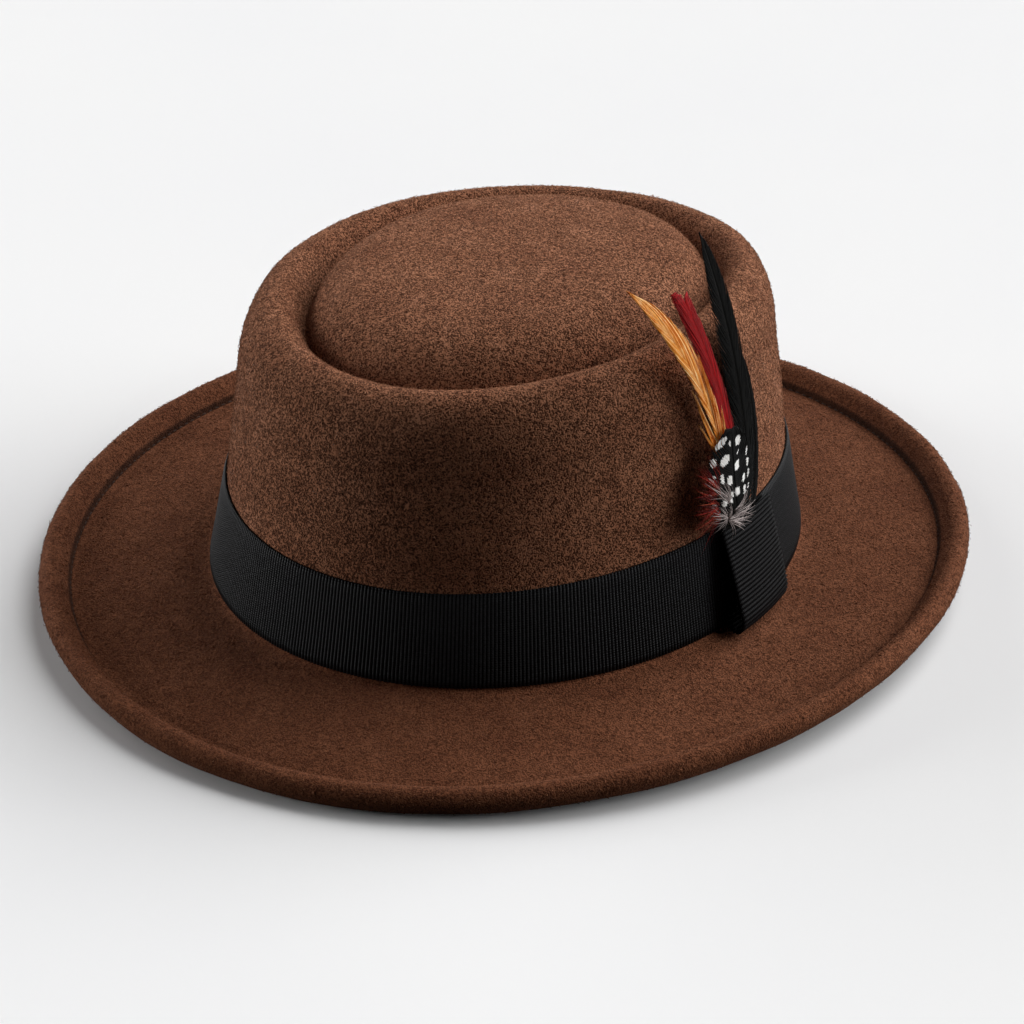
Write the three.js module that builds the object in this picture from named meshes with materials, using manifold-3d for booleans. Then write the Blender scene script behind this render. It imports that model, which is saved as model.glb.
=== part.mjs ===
// A porkpie hat, built as the real one is: a crown and brim blocked from one piece of wool felt,
// a ribbon round the foot of the crown, a flat ribbon loop on the wearer's left, and a bunch of
// feathers tucked into the loop. Millimetres, +Z up. The wearer faces -Y, so the loop is on +X.
// The origin is on the surface that the hat rests on, under the middle of the head oval.

import Module from "manifold-3d";
import * as THREE from "three";
import { mergeVertices } from "three/addons/utils/BufferGeometryUtils.js";

// Felt body
const HEAD_LENGTH = 202.4; // outside of the felt at the foot of the crown, front to back
const HEAD_WIDTH = 171.6;
const CREST_LENGTH = 161; // oval along the top of the crown's rounded rim
const CREST_WIDTH = 132;
const CREST_SHIFT = 1.2; // how far the crest lies toward the wearer's left
const FELT = 2.4; // wall of the crown and the brim
const CROWN_HEIGHT = 85; // from the foot of the crown to the crest of its rim
const CREST_SADDLE = 2.1; // how much the crest rises at its sides, and dips at front and back
const CREST_ROLL = 2.3; // how much higher the crest stands on the wearer's left
const GROOVE_WIDTH = 9; // from the crest in to the crease round the raised tip
const GROOVE_DEPTH = 10; // from the crest down to the crease
const TIP_RISE = 20; // from the crease to the middle of the tip
const FOOT_HEIGHT = 8.6; // brim's upper face at the foot of the crown, above the floor
const FOOT_PITCH = 2.7; // how much higher the front of the foot lies than its sides
const BRIM_WIDTH = 52; // from the foot of the crown to the outer edge
const BRIM_LIFT = 4.8; // how much higher the brim's sides lie than its front and back
const WELT_WIDTH = 9; // edge of the brim, turned over onto its upper face
const WELT_HEIGHT = 5.8;

// Ribbons
const RIBBON = 0.9; // thickness
const SEAT_GAP = 0.3; // between pieces that rest on each other
const BAND_FOOT = 1.2; // lower edge of the band, above the foot of the crown
const BAND_HEIGHT = 28;
const LOOP_WIDTH = 28; // along the band
const LOOP_ANGLE = 81.5; // middle of the loop, in degrees round the head oval from the front
const LOOP_FOOT = 0.6; // underside of the loop, above the foot of the crown
const LOOP_TOP = 31; // open top edge of the loop, above the foot of the crown
const LOOP_BULGE = 8; // from the band to the loop's outer face, near its rounded bottom
const LOOP_TIGHTEN = 2.5; // how much less it bulges at its edge toward the back of the hat
const LOOP_ROLL = 4.5; // height of the loop's rounded bottom
const POCKET = 1.3; // room for the quills between the two layers at the loop's top

// Feathers
const BUNCH_ANGLE = 79; // where the bunch leaves the loop, in degrees round the head oval
const FEATHER_LENGTH = 97;
const FEATHER_WIDTH = 11;
const VANE = 0.8; // thickness of a feather along its shaft
const VANE_EDGE = 0.3;
const QUILL_DEPTH = 9; // length of bare quill inside the loop
const QUILL_WIDTH = 1.2;
const FAN_RAMP = 5; // height above the loop over which the layers spread apart
const FEATHER_CURL = 2; // how far the longest feather's tip bends in over the crown

const SEGMENTS = 64; // round the hat

// Wall of the crown from its foot to where the rim starts to round over. lean is the share of the
// way in from the head oval to the crest oval, and rise the share of the crown's height.
const WALL = [
  { lean: 0.0, rise: 0.012 },
  { lean: 0.09, rise: 0.12 },
  { lean: 0.26, rise: 0.34 },
  { lean: 0.36, rise: 0.55 },
  { lean: 0.46, rise: 0.7 },
];
const RIM_STEPS = 5;

// Inner side of the rim, from the crest into the crease. inward is the share of the groove's
// width, and drop the share of its depth.
const GROOVE = [
  { inward: 0.28, drop: 0.05 },
  { inward: 0.56, drop: 0.26 },
  { inward: 0.77, drop: 0.6 },
  { inward: 0.91, drop: 0.92 },
];

// Raised tip, from the crease to its middle. out is the share of the tip's oval, and rise the
// share of its height.
const TIP = [
  { out: 1.0, rise: 0.0 },
  { out: 0.975, rise: 0.21 },
  { out: 0.94, rise: 0.41 },
  { out: 0.89, rise: 0.6 },
  { out: 0.8, rise: 0.8 },
  { out: 0.65, rise: 0.92 },
  { out: 0.36, rise: 0.985 },
];

// Brim's flat part, as shares of the way from the foot of the crown to the welt.
const BRIM_STEPS = [0.02, 0.35, 0.7];

// Turned-over edge, from its cut edge on the brim's upper face, over the top and round under the
// brim. out is the share of its width, and up the share of its height.
const WELT = [
  { out: 0.0, up: 0.0 },
  { out: 0.03, up: 0.3 },
  { out: 0.26, up: 0.66 },
  { out: 0.5, up: 0.93 },
  { out: 0.7, up: 1.0 },
  { out: 0.87, up: 0.86 },
  { out: 0.97, up: 0.58 },
  { out: 1.0, up: 0.26 },
  { out: 0.94, up: -0.06 },
  { out: 0.8, up: -0.28 },
  { out: 0.6, up: -FELT / WELT_HEIGHT },
];

const BAND_STEPS = [0, 0.5, 1]; // up the ribbon of the band
const LOOP_STEPS = [0, 0.25, 0.5, 0.75, 1]; // across the ribbon of the loop, from front to back
const ROLL_STEPS = 6; // round the bottom of the loop
const QUILL_STEPS = [0, 0.5, 1]; // along a bare quill

// Outer layer of the loop, above its rounded bottom. up is the share of the way to its top edge,
// and back the share of the way from its bulge back to the pocket.
const LOOP_FACE = [
  { up: 0.35, back: 0.28 },
  { up: 0.7, back: 0.65 },
  { up: 1.0, back: 1.0 },
];

// Outlines of the feathers, from root to tip. along is the share of the length, and wide the
// share of the feather's width.
const BLADE = [
  { along: 0.16, wide: 0.28 },
  { along: 0.28, wide: 0.92 },
  { along: 0.45, wide: 1.0 },
  { along: 0.65, wide: 0.97 },
  { along: 0.8, wide: 0.78 },
  { along: 0.92, wide: 0.42 },
  { along: 1.0, wide: 0.06 },
];
const CUT = [
  { along: 0.16, wide: 0.3 },
  { along: 0.3, wide: 0.95 },
  { along: 0.6, wide: 1.0 },
  { along: 0.85, wide: 1.0 },
  { along: 1.0, wide: 0.95 },
];
const TAPER = [
  { along: 0.16, wide: 0.25 },
  { along: 0.32, wide: 0.55 },
  { along: 0.52, wide: 0.9 },
  { along: 0.7, wide: 1.0 },
  { along: 0.86, wide: 0.66 },
  { along: 1.0, wide: 0.05 },
];
const ROUND = [
  { along: 0.0, wide: 0.2 },
  { along: 0.12, wide: 0.62 },
  { along: 0.35, wide: 1.0 },
  { along: 0.62, wide: 0.95 },
  { along: 0.85, wide: 0.66 },
  { along: 1.0, wide: 0.22 },
];

// Feathers, from the crown outward. layer counts the vanes under it, seat is its place along the
// ribbon as a share of the loop's width, root its lower end above the loop's top edge, long and
// wide are shares of the longest feather's sizes, and lean and bend are in degrees.
const FEATHERS = {
  feather_black_short: {
    layer: 0, seat: 0.22, root: -QUILL_DEPTH, long: 0.56, wide: 0.5, lean: 14, bend: -15,
    outline: BLADE, color: "#12130f",
  },
  feather_black_long: {
    layer: 1, seat: 0.14, root: -QUILL_DEPTH, long: 1.0, wide: 1.0, lean: 7.5, bend: -23,
    outline: BLADE, color: "#0e0f0d",
  },
  feather_red: {
    layer: 2, seat: -0.02, root: -QUILL_DEPTH, long: 0.89, wide: 0.68, lean: -2, bend: -19,
    outline: CUT, color: "#7d1218",
  },
  feather_orange: {
    layer: 3, seat: -0.19, root: -QUILL_DEPTH, long: 1.06, wide: 0.92, lean: -2, bend: -40,
    outline: TAPER, color: "#c9812f",
  },
  feather_guinea: {
    layer: 5, seat: -0.27, root: 0.5, long: 0.31, wide: 2.0, lean: -3, bend: 12,
    outline: ROUND, color: "#191a18",
  },
};

// Soft tufts of loose barbs. seat and rise place the middle of each, as shares of the loop's width,
// reach is its longest lock as a share of the longest feather, and each lock has its own direction,
// in degrees from straight up toward the back of the hat, and share of the reach.
const TUFTS = {
  feather_hackle: {
    layer: 4, seat: -0.5, rise: 0.46, reach: 0.155, color: "#7a2418",
    locks: [
      { turn: 10, share: 0.9 },
      { turn: -28, share: 0.95 },
      { turn: -58, share: 1.0 },
      { turn: -84, share: 0.95 },
      { turn: -112, share: 1.0 },
      { turn: -142, share: 0.8 },
    ],
  },
  feather_down: {
    layer: 6, seat: -0.33, rise: 0.15, reach: 0.13, color: "#6f6a68",
    locks: [
      { turn: 20, share: 0.75 },
      { turn: -25, share: 1.0 },
      { turn: 65, share: 0.9 },
      { turn: 100, share: 0.85 },
      { turn: 140, share: 0.6 },
      { turn: 185, share: 0.6 },
      { turn: 230, share: 0.7 },
      { turn: 275, share: 0.9 },
    ],
  },
};
const LOCK_WIDTH = 0.36; // of a lock, as a share of the tuft's reach
const LOCK = [
  { along: 0.0, wide: 0.5 },
  { along: 0.35, wide: 1.0 },
  { along: 0.7, wide: 0.7 },
  { along: 1.0, wide: 0.1 },
];

// Middle of a tuft, where its locks spring from. up and wide are shares of its half width.
const TUFT_HEAD = 0.28; // half width, as a share of the tuft's reach
const HEAD = [
  { up: -1, wide: 0.5 },
  { up: 0, wide: 1.0 },
  { up: 1, wide: 0.5 },
];

const lerp = THREE.MathUtils.lerp;
const radians = THREE.MathUtils.degToRad;
const wasm = await Module();
wasm.setup();

// A solid through rings of points, which run clockwise seen from the last row. A row with one
// point closes the solid to a pole, other end rows are closed flat, by pairs of points from both
// ends of the ring, and with ringed set the last row joins the first.
function loft(rows, ringed = false) {
  const starts = rows.map((_, r) => rows.slice(0, r).reduce((sum, row) => sum + row.length, 0));
  const at = (row, i) => starts[row] + (i % rows[row].length);
  const faces = [];
  const sides = ringed ? rows.length : rows.length - 1;
  for (let r = 0; r < sides; r += 1) {
    const [low, high] = [r, (r + 1) % rows.length];
    for (let i = 0; i < Math.max(rows[low].length, rows[high].length); i += 1) {
      if (rows[low].length > 1) faces.push(at(low, i), at(high, i), at(low, i + 1));
      if (rows[high].length > 1) faces.push(at(low, i + 1), at(high, i), at(high, i + 1));
    }
  }
  const close = (row, first) => {
    const last = rows[row].length - 1;
    for (let i = 0; i < (last - 1) / 2; i += 1) {
      const [a, b, c, d] = [i, i + 1, last - 1 - i, last - i].map((k) => at(row, k));
      if (first) faces.push(a, b, d, b, c, d);
      else faces.push(a, d, b, b, d, c);
    }
  };
  if (!ringed && rows[0].length > 1) close(0, true);
  if (!ringed && rows[rows.length - 1].length > 1) close(rows.length - 1, false);
  const geometry = new THREE.BufferGeometry();
  const places = rows.flat().flatMap((point) => point.toArray());
  geometry.setAttribute("position", new THREE.Float32BufferAttribute(places, 3));
  geometry.setIndex(faces);
  geometry.computeVertexNormals();
  return geometry;
}

// One closed body from several closed geometries that overlap.
function fuse(geometries) {
  const solids = geometries.map((geometry) => {
    const bare = geometry.clone();
    bare.deleteAttribute("normal");
    bare.deleteAttribute("uv");
    const merged = mergeVertices(bare);
    return new wasm.Manifold(
      new wasm.Mesh({
        numProp: 3,
        vertProperties: merged.attributes.position.array,
        triVerts: Uint32Array.from(merged.index.array),
      }),
    );
  });
  const mesh = solids.reduce((whole, solid) => whole.add(solid)).getMesh();
  const geometry = new THREE.BufferGeometry();
  geometry.setAttribute("position", new THREE.BufferAttribute(mesh.vertProperties, 3));
  geometry.setIndex(new THREE.BufferAttribute(mesh.triVerts, 1));
  geometry.computeVertexNormals();
  return geometry;
}

// Height above the floor of a point of the crown that lies a rise above its foot. The blocked
// shape is pitched, and its crest is a little higher on one side and at both sides.
function crownHeight(x, y, rise) {
  const [side, end] = [x / (CREST_WIDTH / 2), y / (CREST_LENGTH / 2)];
  const uneven = CREST_ROLL * side + CREST_SADDLE * (side ** 2 - end ** 2);
  const pitch = FOOT_PITCH / (HEAD_LENGTH / 2);
  return FOOT_HEIGHT + rise - y * pitch + (uneven * rise) / CROWN_HEIGHT;
}

// Point at an angle round the hat, from the front toward the wearer's left. lengthwise and across
// are the half sizes of its oval, and shift is how far the oval lies to that side.
function ovalPoint(lengthwise, across, angle, shift, heightAt) {
  const x = shift + across * Math.sin(angle);
  const y = -lengthwise * Math.cos(angle);
  return new THREE.Vector3(x, y, heightAt(x, y));
}

// Point of the crown: lean between the head oval and the crest oval, rise and off in millimetres.
function crownPoint(angle, lean, rise, off = 0) {
  return ovalPoint(
    lerp(HEAD_LENGTH, CREST_LENGTH, lean) / 2 + off,
    lerp(HEAD_WIDTH, CREST_WIDTH, lean) / 2 + off,
    angle,
    CREST_SHIFT * lean,
    (x, y) => crownHeight(x, y, rise),
  );
}

// Point that lies off the crown's wall by a distance, at a height above its foot.
function wallPoint(angle, height, off) {
  const rise = height / CROWN_HEIGHT;
  const next = Math.max(1, WALL.findIndex((row) => row.rise >= rise));
  const [below, above] = [WALL[next - 1], WALL[next]];
  const lean = lerp(below.lean, above.lean, (rise - below.rise) / (above.rise - below.rise));
  return crownPoint(angle, lean, height, off);
}

// One closed ring of points round the hat.
function ring(pointAt) {
  const turn = (2 * Math.PI) / SEGMENTS;
  return Array.from({ length: SEGMENTS }, (_, i) => pointAt(i * turn));
}

// Ring inside the crest oval, by the distance in from it and the height below it.
function tipRing(inset, drop, share = 1) {
  const lengthwise = (CREST_LENGTH / 2 - inset) * share;
  const across = (CREST_WIDTH / 2 - inset) * share;
  const heightAt = (x, y) => crownHeight(x, y, CROWN_HEIGHT - drop);
  return ring((angle) => ovalPoint(lengthwise, across, angle, CREST_SHIFT, heightAt));
}

// Ring of the brim's upper face, at a distance out from the head oval. share is 0 at the foot of
// the crown and 1 at the welt.
function brimRing(out, share, above = 0) {
  return ring((angle) => {
    const foot = FOOT_HEIGHT + FOOT_PITCH * Math.cos(angle);
    const edge = FELT + BRIM_LIFT * Math.sin(angle) ** 2;
    const height = lerp(foot, edge, share) + above;
    return ovalPoint(HEAD_LENGTH / 2 + out, HEAD_WIDTH / 2 + out, angle, 0, () => height);
  });
}

const brimFlat = BRIM_WIDTH - WELT_WIDTH;

// Upper face of the felt, from the middle of the tip out to the brim's welt.
function upperRows() {
  const rows = [...TIP].reverse().map(({ out, rise }) =>
    tipRing(GROOVE_WIDTH, GROOVE_DEPTH - TIP_RISE * rise, out),
  );
  for (const { inward, drop } of [...GROOVE].reverse()) {
    rows.push(tipRing(GROOVE_WIDTH * inward, GROOVE_DEPTH * drop));
  }
  const top = WALL[WALL.length - 1];
  for (let i = RIM_STEPS; i > 0; i -= 1) {
    const turn = (i / RIM_STEPS) * (Math.PI / 2);
    const lean = 1 - (1 - top.lean) * Math.cos(turn);
    const rise = top.rise + (1 - top.rise) * Math.sin(turn);
    rows.push(ring((angle) => crownPoint(angle, lean, rise * CROWN_HEIGHT)));
  }
  for (const { lean, rise } of [...WALL].reverse()) {
    rows.push(ring((angle) => crownPoint(angle, lean, rise * CROWN_HEIGHT)));
  }
  for (const share of BRIM_STEPS) {
    rows.push(brimRing(brimFlat * share, share));
  }
  return rows;
}

// The same rows one felt thickness below the upper face.
function lowerRows(rows) {
  return rows.map((row, r) =>
    row.map((point, i) => {
      const inner = rows[Math.max(r - 1, 0)][i];
      const outer = rows[Math.min(r + 1, rows.length - 1)][i];
      const before = row[(i + SEGMENTS - 1) % SEGMENTS];
      const after = row[(i + 1) % SEGMENTS];
      const normal = outer.clone().sub(inner).cross(after.clone().sub(before)).normalize();
      return point.clone().addScaledVector(normal, -FELT);
    }),
  );
}

function feltBody() {
  const upper = upperRows();
  const lower = lowerRows(upper);
  const welt = WELT.map(({ out, up }) =>
    brimRing(brimFlat + WELT_WIDTH * out, 1, WELT_HEIGHT * up),
  );
  const tipTop = crownHeight(CREST_SHIFT, 0, CROWN_HEIGHT - GROOVE_DEPTH + TIP_RISE);
  const middle = new THREE.Vector3(CREST_SHIFT, 0, tipTop);
  const under = middle.clone().setZ(middle.z - FELT);
  return loft([[middle], ...upper, ...welt, ...lower.reverse(), [under]]);
}

function hatBand() {
  const heights = BAND_STEPS.map((share) => BAND_FOOT + BAND_HEIGHT * share);
  const face = (off) => heights.map((height) => ring((angle) => wallPoint(angle, height, off)));
  return loft([...face(SEAT_GAP), ...face(SEAT_GAP + RIBBON).reverse()], true);
}

// Middle line of the folded ribbon: down its inner layer, round the bottom and up its outer layer.
// x is the distance off the band, y the height above the foot of the crown.
function foldLine(bulge) {
  const back = RIBBON / 2;
  const front = back + RIBBON + POCKET;
  const belly = bulge - back;
  const low = LOOP_FOOT + back;
  const roll = low + LOOP_ROLL;
  const line = [new THREE.Vector2(back, LOOP_TOP), new THREE.Vector2(back, (roll + LOOP_TOP) / 2)];
  for (let i = 0; i <= ROLL_STEPS; i += 1) {
    const turn = (i / ROLL_STEPS) * Math.PI;
    const x = lerp(back, belly, (1 - Math.cos(turn)) / 2);
    line.push(new THREE.Vector2(x, roll - LOOP_ROLL * Math.sin(turn)));
  }
  for (const step of LOOP_FACE) {
    const x = lerp(belly, front, step.back);
    line.push(new THREE.Vector2(x, lerp(roll, LOOP_TOP, step.up)));
  }
  return line;
}

// Ribbon folded up on itself over the band, open at the top, where the quills go in.
function ribbonLoop() {
  const band = SEAT_GAP + RIBBON + SEAT_GAP;
  const spread = LOOP_WIDTH / (HEAD_LENGTH / 2);
  const rows = LOOP_STEPS.map((share) => {
    const angle = radians(LOOP_ANGLE) + (share - 0.5) * spread;
    const section = foldSection(LOOP_BULGE - LOOP_TIGHTEN * share);
    return section.map(({ x, y }) => wallPoint(angle, y, band + x));
  });
  return loft(rows);
}

// Cross-section of the folded ribbon, its outer side first.
function foldSection(bulge) {
  const line = foldLine(bulge);
  const sides = line.map((point, i) => {
    const along = line[Math.min(i + 1, line.length - 1)].clone().sub(line[Math.max(i - 1, 0)]);
    return new THREE.Vector2(along.y, -along.x).setLength(RIBBON / 2);
  });
  const outside = line.map((point, i) => point.clone().add(sides[i]));
  const inside = line.map((point, i) => point.clone().sub(sides[i]));
  return [...outside, ...inside.reverse()];
}

// Frame of the bunch, at the loop's top edge: side runs along the band toward the back of the hat,
// up follows the crown's wall and out points away from it.
const quillSeat = SEAT_GAP + RIBBON + SEAT_GAP + RIBBON + POCKET / 2;
const bunch = (() => {
  const angle = radians(BUNCH_ANGLE);
  const origin = wallPoint(angle, LOOP_TOP, quillSeat);
  const up = origin.clone().sub(wallPoint(angle, LOOP_TOP - QUILL_DEPTH, quillSeat)).normalize();
  const along = wallPoint(angle + radians(1), LOOP_TOP, quillSeat).sub(origin);
  const out = along.clone().cross(up).normalize();
  return { origin, up, out, side: up.clone().cross(out) };
})();

function bunchPoint(side, up, out) {
  return bunch.origin
    .clone()
    .addScaledVector(bunch.side, side)
    .addScaledVector(bunch.up, up)
    .addScaledVector(bunch.out, out - FEATHER_CURL * (up / FEATHER_LENGTH) ** 2);
}

// Flat vane with a thicker shaft, its ring running clockwise seen from its tip.
function vaneRow(side, up, out, across, half) {
  const edge = VANE_EDGE / 2;
  const at = (share, lift) =>
    bunchPoint(side + across.x * half * share, up + across.y * half * share, out + lift);
  return [at(1, edge), at(0, VANE / 2), at(-1, edge), at(-1, -edge), at(0, -VANE / 2), at(1, -edge)];
}

// A feather: its shaft leans and bends evenly, and above the loop it spreads to its own layer.
function feather({ layer, seat, root, long, wide, lean, bend, outline }) {
  const length = FEATHER_LENGTH * long;
  const quill = QUILL_STEPS.map((share) => ({ along: (share * QUILL_DEPTH) / length, wide: 0 }));
  const steps = root < 0 ? [...quill, ...outline] : outline;
  const rows = [];
  let [side, up, before] = [LOOP_WIDTH * seat, root, 0];
  for (const step of steps) {
    const middle = radians(lean + (bend * (before + step.along)) / 2);
    side += Math.sin(middle) * (step.along - before) * length;
    up += Math.cos(middle) * (step.along - before) * length;
    before = step.along;
    const turn = radians(lean + bend * step.along);
    const across = new THREE.Vector2(Math.cos(turn), -Math.sin(turn));
    const spread = root < 0 ? THREE.MathUtils.smoothstep(up, 0, FAN_RAMP) : 1;
    const out = layer * (VANE + SEAT_GAP) * spread;
    const width = Math.max(QUILL_WIDTH, FEATHER_WIDTH * wide * step.wide);
    rows.push(vaneRow(side, up, out, across, width / 2));
  }
  return loft(rows);
}

// A tuft: short locks that spring from one flat middle.
function tuft({ layer, seat, rise, reach, locks }) {
  const long = FEATHER_LENGTH * reach;
  const out = layer * (VANE + SEAT_GAP);
  const [side, up] = [LOOP_WIDTH * seat, LOOP_WIDTH * rise];
  const lock = ({ turn, share }) => {
    const along = new THREE.Vector2(Math.sin(radians(turn)), Math.cos(radians(turn)));
    const across = new THREE.Vector2(along.y, -along.x);
    const rows = LOCK.map((step) => {
      const far = along.clone().multiplyScalar(long * share * step.along);
      const half = (step.wide * long * LOCK_WIDTH) / 2;
      return vaneRow(side + far.x, up + far.y, out, across, half);
    });
    return loft(rows);
  };
  const level = new THREE.Vector2(1, 0);
  const size = long * TUFT_HEAD;
  const head = HEAD.map((step) => vaneRow(side, up + size * step.up, out, level, size * step.wide));
  return fuse([loft(head), ...locks.map(lock)]);
}

const hat = new THREE.Group();

function addPiece(name, geometry, color, roughness) {
  const material = new THREE.MeshStandardMaterial({ color, roughness, metalness: 0 });
  const piece = new THREE.Mesh(geometry, material);
  piece.name = name;
  hat.add(piece);
}

addPiece("felt_body", feltBody(), "#6e4a38", 0.95);
addPiece("hat_band", hatBand(), "#141415", 0.6);
addPiece("ribbon_loop", ribbonLoop(), "#18181a", 0.6);
for (const [name, row] of Object.entries(FEATHERS)) {
  addPiece(name, feather(row), row.color, 0.5);
}
for (const [name, row] of Object.entries(TUFTS)) {
  addPiece(name, tuft(row), row.color, 0.8);
}

export default hat;
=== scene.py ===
import math

import bpy
import numpy as np
from mathutils import Matrix, Vector, noise
from mathutils.bvhtree import BVHTree


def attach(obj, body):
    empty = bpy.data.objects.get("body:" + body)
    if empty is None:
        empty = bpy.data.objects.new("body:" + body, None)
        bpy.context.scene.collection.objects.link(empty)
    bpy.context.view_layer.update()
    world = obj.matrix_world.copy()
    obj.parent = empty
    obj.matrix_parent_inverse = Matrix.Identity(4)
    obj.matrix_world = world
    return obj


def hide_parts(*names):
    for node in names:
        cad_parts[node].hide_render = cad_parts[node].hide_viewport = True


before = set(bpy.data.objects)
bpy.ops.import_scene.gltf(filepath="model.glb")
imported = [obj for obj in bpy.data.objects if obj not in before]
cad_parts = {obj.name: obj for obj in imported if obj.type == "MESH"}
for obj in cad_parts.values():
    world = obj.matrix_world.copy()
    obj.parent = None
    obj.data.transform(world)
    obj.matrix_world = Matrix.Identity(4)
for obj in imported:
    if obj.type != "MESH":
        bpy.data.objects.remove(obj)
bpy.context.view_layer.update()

MM = 0.001

# Blocked shape of the crown, in millimetres, as in the part's source. Half sizes are given across
# the head and from front to back.
HEAD_ACROSS, HEAD_LONG = 85.8, 101.2
CREST_ACROSS, CREST_LONG, CREST_SHIFT = 66.0, 80.5, 1.2
CROWN_HEIGHT, CREST_SADDLE, CREST_ROLL = 85.0, 2.1, 2.3
FOOT_HEIGHT, FOOT_PITCH = 8.6, 2.7
BRIM_WIDTH, BRIM_LIFT, WELT_WIDTH, FELT = 52.0, 4.8, 9.0, 2.4

# The wall's lean from foot to crest: how much of it is reached at shares of the crown's height
WALL_RISE = [0.012, 0.12, 0.34, 0.55, 0.7]
WALL_LEAN = [0.0, 0.09, 0.26, 0.36, 0.46]

# Oval of the seam where the brim's turned-over edge is sewn down, and half the seam's width
SEAM_ACROSS = HEAD_ACROSS + BRIM_WIDTH - WELT_WIDTH
SEAM_LONG = HEAD_LONG + BRIM_WIDTH - WELT_WIDTH
SEAM_HALF = 0.9

# Ribbons, in millimetres and degrees round the hat
RIBBON, SEAT_GAP = 0.9, 0.3
BAND_FOOT, BAND_HEIGHT = 1.2, 28.0
LOOP_WIDTH, LOOP_ANGLE = 28.0, 81.5
LOOP_FOOT, LOOP_TOP = 0.6, 31.0
LOOP_BULGE, LOOP_TIGHTEN, LOOP_ROLL, POCKET = 8.0, 2.5, 4.5, 1.3

# Feathers, in millimetres and degrees round the hat
BUNCH_ANGLE, QUILL_DEPTH = 79.0, 9.0
FEATHER_LENGTH, FEATHER_WIDTH, FEATHER_CURL = 97.0, 11.0, 2.0
LAYER, FAN_RAMP = 1.1, 5.0


# Meshes from arrays

def piece_from(name, vertices, faces, maps=None):
    """An object from vertices in millimetres and a list of face arrays. maps is one UV place for
    each vertex."""
    vertices = np.asarray(vertices, float).reshape(-1, 3) * MM
    corners = np.concatenate([block.ravel() for block in faces])
    sizes = np.concatenate([np.full(len(block), block.shape[1]) for block in faces])
    mesh = bpy.data.meshes.new(name)
    mesh.vertices.add(len(vertices))
    mesh.vertices.foreach_set("co", vertices.ravel())
    mesh.loops.add(len(corners))
    mesh.loops.foreach_set("vertex_index", corners)
    mesh.polygons.add(len(sizes))
    mesh.polygons.foreach_set("loop_start", np.concatenate([[0], np.cumsum(sizes)[:-1]]))
    if maps is not None:
        layer = mesh.uv_layers.new(name="surface")
        layer.data.foreach_set("uv", np.asarray(maps, float).reshape(-1, 2)[corners].ravel())
    mesh.update(calc_edges=True)
    mesh.validate()
    mesh.shade_smooth()
    piece = bpy.data.objects.new(name, mesh)
    bpy.context.scene.collection.objects.link(piece)
    return piece


def unit(vectors):
    return vectors / np.maximum(np.linalg.norm(vectors, axis=-1, keepdims=True), 1e-9)


def fade(value, start, run):
    """0 up to start, then evenly to 1 over run."""
    return np.clip((value - start) / run, 0, 1)


def read_vertices(mesh):
    """A mesh's places, in millimetres, and its normals."""
    tables = []
    for source, key, scale in ((mesh.vertices, "co", 1 / MM), (mesh.vertex_normals, "vector", 1)):
        table = np.empty(len(mesh.vertices) * 3)
        source.foreach_get(key, table)
        tables.append(table.reshape(-1, 3) * scale)
    return tables


def write_vertices(mesh, places):
    mesh.vertices.foreach_set("co", (places * MM).ravel())
    mesh.update()


def path_lengths(places):
    """Length of a path up to each of its places."""
    steps = np.linalg.norm(np.diff(places, axis=0), axis=1)
    return np.concatenate([[0], np.cumsum(steps)])


# Sections of strands: a thread or shaft, and a barb that is flat below
ROUND_SECTION = [(math.cos(k * math.pi / 3), math.sin(k * math.pi / 3)) for k in range(6)]
BARB = [(-1, 0), (1, 0), (0, 0.7)]


def strands(paths, half, out, section):
    """Closed strands along paths, which are arrays of points. half is each point's half width and
    out the direction the strand's face looks. section gives its corners as shares of the half
    width, to the side and outwards."""
    along = unit(np.gradient(paths, axis=1))
    side = unit(np.cross(out, along))
    up = np.cross(along, side)
    count, steps = paths.shape[:2]
    rings = [paths + side * half[..., None] * a + up * half[..., None] * b for a, b in section]
    points = np.stack(rings, axis=2)
    around = len(section)
    index = np.arange(count * steps * around).reshape(count, steps, around)
    following = np.roll(index, -1, axis=2)
    low, next_low = index[:, :-1], following[:, :-1]
    high, next_high = index[:, 1:], following[:, 1:]
    walls = np.stack([low, next_low, next_high, high], axis=-1).reshape(-1, 4)
    root = index[:, 0, ::-1].reshape(-1, around)
    tip = index[:, -1].reshape(-1, around)
    return points, [walls, root, tip]


def gather(parts):
    """Vertices, faces and maps of several sets of strands as one."""
    points, faces, maps, start = [], [], [], 0
    for part_points, part_faces, part_maps in parts:
        flat = part_points.reshape(-1, 3)
        points.append(flat)
        maps.append(part_maps.reshape(-1, 2))
        faces.extend(block + start for block in part_faces)
        start += len(flat)
    return np.concatenate(points), faces, np.concatenate(maps)


# Operators on one piece

def select_only(piece):
    bpy.ops.object.select_all(action="DESELECT")
    piece.select_set(True)
    bpy.context.view_layer.objects.active = piece


def apply_modifier(piece, kind, **settings):
    select_only(piece)
    modifier = piece.modifiers.new(kind.title(), kind)
    for key, value in settings.items():
        setattr(modifier, key, value)
    bpy.ops.object.modifier_apply(modifier=modifier.name)


def keep(piece, slot, *nodes):
    """Attaches a piece to the root body and hides the CAD nodes it stands for. slot is not used."""
    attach(piece, "root")
    if nodes:
        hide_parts(*nodes)


# Materials

def linear(code):
    """Linear colour of an sRGB hex value."""
    shares = [int(code[i : i + 2], 16) / 255 for i in (1, 3, 5)]
    return [s / 12.92 if s <= 0.04045 else ((s + 0.055) / 1.055) ** 2.4 for s in shares] + [1.0]


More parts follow.
